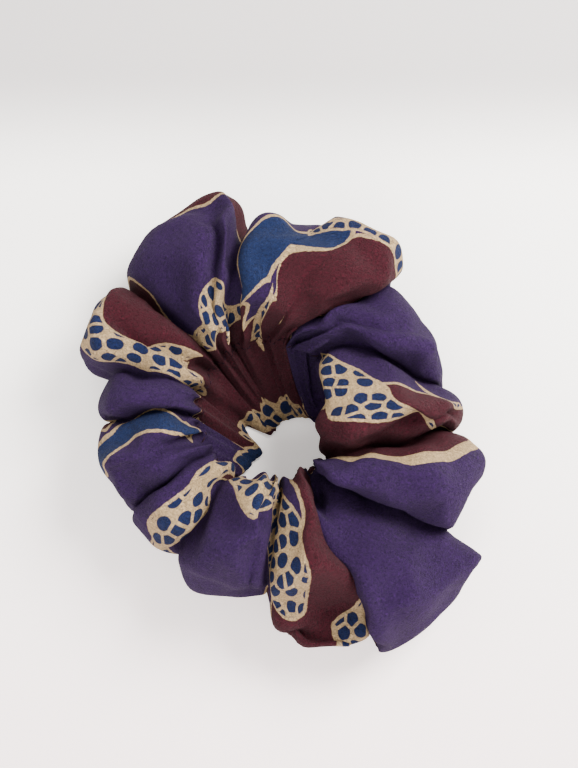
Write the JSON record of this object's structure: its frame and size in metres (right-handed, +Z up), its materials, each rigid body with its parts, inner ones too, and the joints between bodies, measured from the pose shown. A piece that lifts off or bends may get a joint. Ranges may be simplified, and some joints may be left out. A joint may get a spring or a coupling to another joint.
{
  "type": "scrunchie",
  "caption": "Gathered fabric hair tie: a printed fabric tube bunched over a flat elastic loop, stretching open along one line.",
  "frame": {"origin": "middle of the outline on the surface the scrunchie lies on", "axes": "+Z up through the opening, +X along the line that the ring stretches, +Y to the back"},
  "size_m": [0.1134, 0.1244, 0.0378],
  "materials": {
    "printed_crepe": "matt crepe with a soft sheen, printed in purple, wine and blue with spotted cream bands",
    "braided_elastic": "white braided elastic",
    "sewing_thread": "dark purple sewing thread",
    "white_thread": "white sewing thread"
  },
  "bodies": {
    "left_half": {"cover_left": "printed_crepe", "elastic_left": "braided_elastic", "long_seam_left": "sewing_thread"},
    "right_half": {"cover_right": "printed_crepe", "elastic_right": "braided_elastic", "long_seam_right": "sewing_thread", "elastic_join_stitches": "white_thread", "closing_stitches": "sewing_thread"}
  },
  "joints": [
    {"name": "stretch", "type": "slide", "parent": "left_half", "child": "right_half", "axis": [1, 0, 0], "range_m": [0, 0.06], "stiffness_N_per_m": 133}
  ]
}
